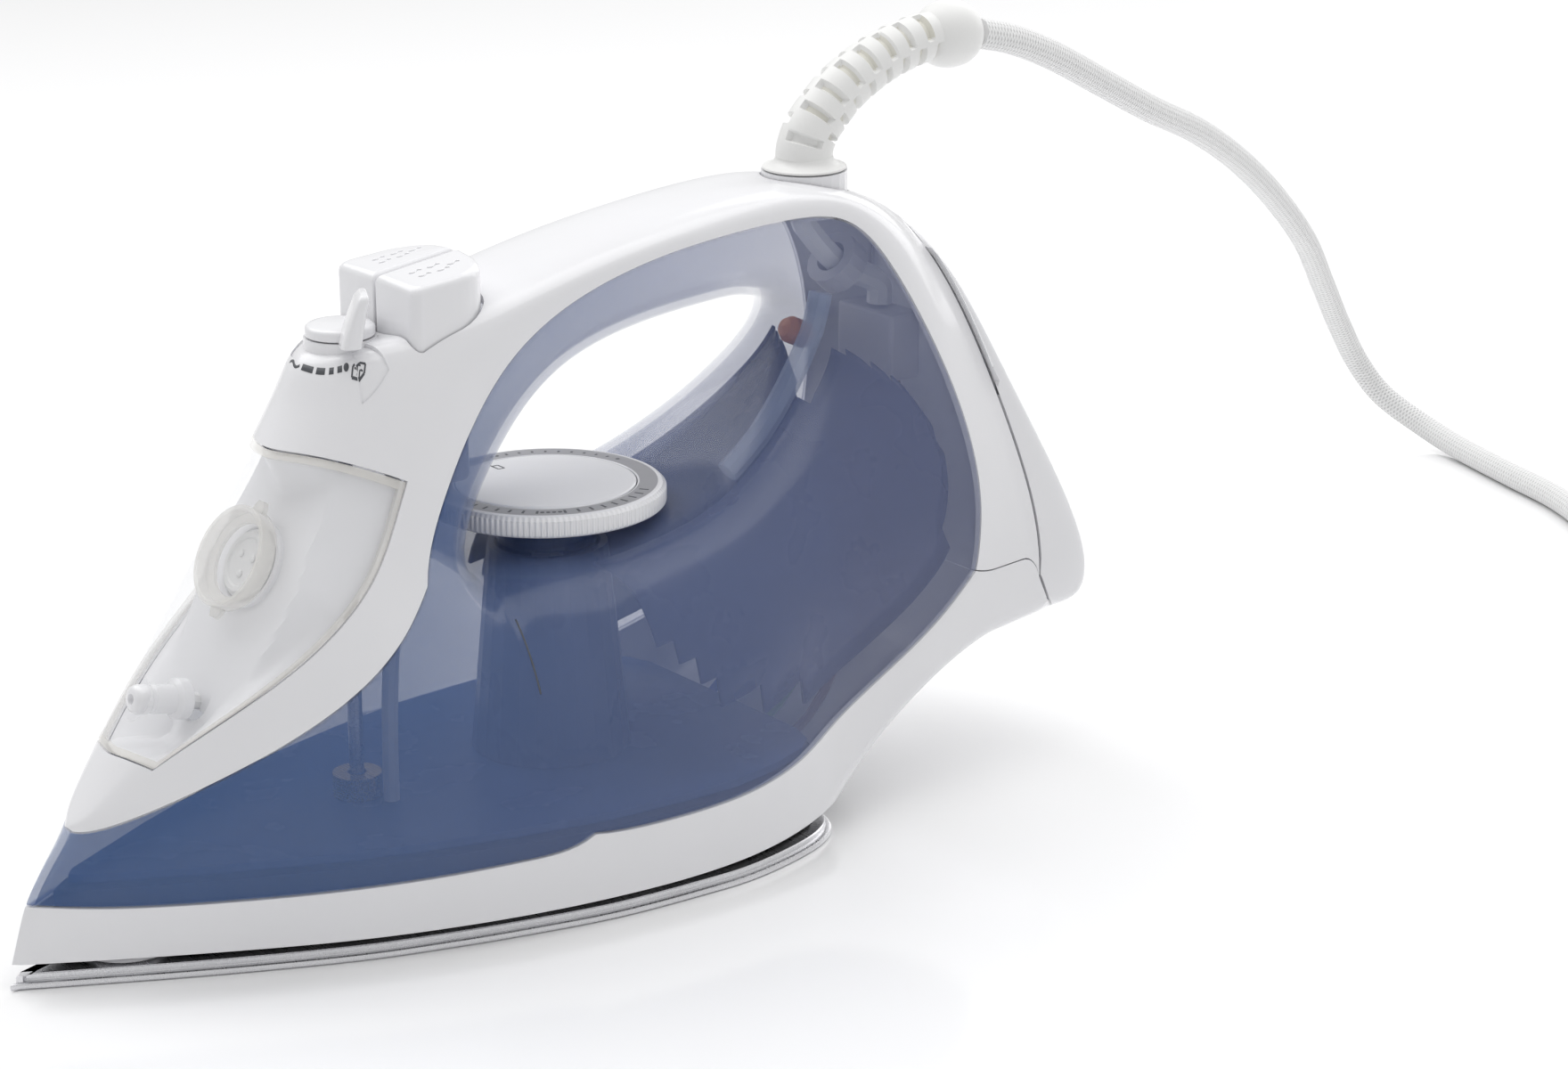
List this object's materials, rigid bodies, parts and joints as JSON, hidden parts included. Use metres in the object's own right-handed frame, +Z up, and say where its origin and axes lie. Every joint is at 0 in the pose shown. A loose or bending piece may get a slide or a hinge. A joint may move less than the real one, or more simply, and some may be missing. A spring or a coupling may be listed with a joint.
{
  "type": "steam iron",
  "caption": "Steam iron with a translucent water tank, temperature dial, steam lever, thumb buttons, clear filler door and a swivelling mains cord.",
  "frame": {"origin": "on the floor under the middle of the iron's length, midway between its sides, measured without the free cord", "axes": "+Z up; +Y from the soleplate's tip to the heel, along the iron's length; +X to the iron's left side, the one with the burst button"},
  "size_m": [0.2917, 0.6388, 0.1984],
  "materials": {
    "gloss_white": "moulded gloss",
    "translucent_blue": "translucent gloss",
    "clear_plastic": "clear moulded plastic",
    "navy_plastic": "satin",
    "dark_phenolic": "satin",
    "grey_plastic": "satin",
    "polished_sole": "coated satin",
    "cast_aluminium": "as cast",
    "steel": "drawn",
    "brass": "turned",
    "silicone": "soft matte",
    "white_textile": "braided",
    "white_flex": "satin",
    "brown_wire": "satin",
    "blue_wire": "satin",
    "green_wire": "satin",
    "amber_lens": "gloss"
  },
  "bodies": {
    "iron": {"soleplate": "polished_sole", "heater_block": "cast_aluminium", "heating_element": "steel", "steam_chamber_cover": "steel", "thermal_fuse": "grey_plastic", "heat_shield": "dark_phenolic", "nose_pad": "grey_plastic", "tank_floor": "translucent_blue", "thermostat_well": "navy_plastic", "thermostat_body": "cast_aluminium", "dial_bush": "navy_plastic", "water_tank": "translucent_blue", "handle_shell": "gloss_white", "back_cover": "gloss_white", "lower_skirt": "gloss_white", "filler_tray": "gloss_white", "filler_neck": "gloss_white", "spray_nozzle": "gloss_white", "valve_seat": "brass", "burst_barrel": "grey_plastic", "spray_barrel": "grey_plastic", "burst_spring": "steel", "spray_spring": "steel", "spray_hose": "silicone", "burst_hose": "silicone", "inner_water_tube": "clear_plastic", "pilot_lamp": "amber_lens", "guard_seat": "gloss_white", "inner_cord": "white_textile", "cord_clamp": "grey_plastic", "terminal_block": "grey_plastic", "live_lead": "brown_wire", "neutral_lead": "blue_wire", "earth_lead": "green_wire"},
    "dial": {"temperature_dial": "gloss_white", "dial_cap": "gloss_white", "dial_shaft": "grey_plastic"},
    "lever": {"steam_lever": "gloss_white", "valve_rod": "steel"},
    "door": {"filler_door": "clear_plastic", "filler_plug": "clear_plastic", "plug_seal": "silicone"},
    "burst_button_body": {"burst_button": "gloss_white", "burst_piston": "grey_plastic"},
    "spray_button_body": {"spray_button": "gloss_white", "spray_piston": "grey_plastic"},
    "cord_set": {"cord_guard": "white_flex", "cord": "white_textile", "cord_coil": "white_textile", "coil_tie": "silicone", "cord_tail": "white_textile", "plug_relief": "white_flex", "plug_body": "white_flex", "plug_pin_left": "brass", "plug_pin_right": "brass"}
  },
  "joints": [
    {"name": "dial_turn", "type": "hinge", "parent": "iron", "child": "dial", "pos_m": [0, 0.003, 0.0879], "axis": [0, 0, 1], "range_deg": [-150, 120]},
    {"name": "lever_turn", "type": "hinge", "parent": "iron", "child": "lever", "pos_m": [0, -0.054, 0.1399], "axis": [0, 0, 1], "range_deg": [-126, 0]},
    {"name": "door_open", "type": "hinge", "parent": "iron", "child": "door", "pos_m": [0, -0.1207, 0.0514], "axis": [1, 0, 0], "range_deg": [0, 50]},
    {"name": "burst_press", "type": "slide", "parent": "iron", "child": "burst_button_body", "axis": [0, 0, -1], "range_m": [0, 0.004], "stiffness_N_per_m": 300, "springref_m": -0.003, "deforming": ["burst_spring"]},
    {"name": "spray_press", "type": "slide", "parent": "iron", "child": "spray_button_body", "axis": [0, 0, -1], "range_m": [0, 0.004], "stiffness_N_per_m": 300, "springref_m": -0.003, "deforming": ["spray_spring"]},
    {"name": "cord_swivel", "type": "hinge", "parent": "iron", "child": "cord_set", "pos_m": [0, 0.084, 0.163], "axis": [0, 0, 1], "range_deg": [-40, 40]}
  ]
}
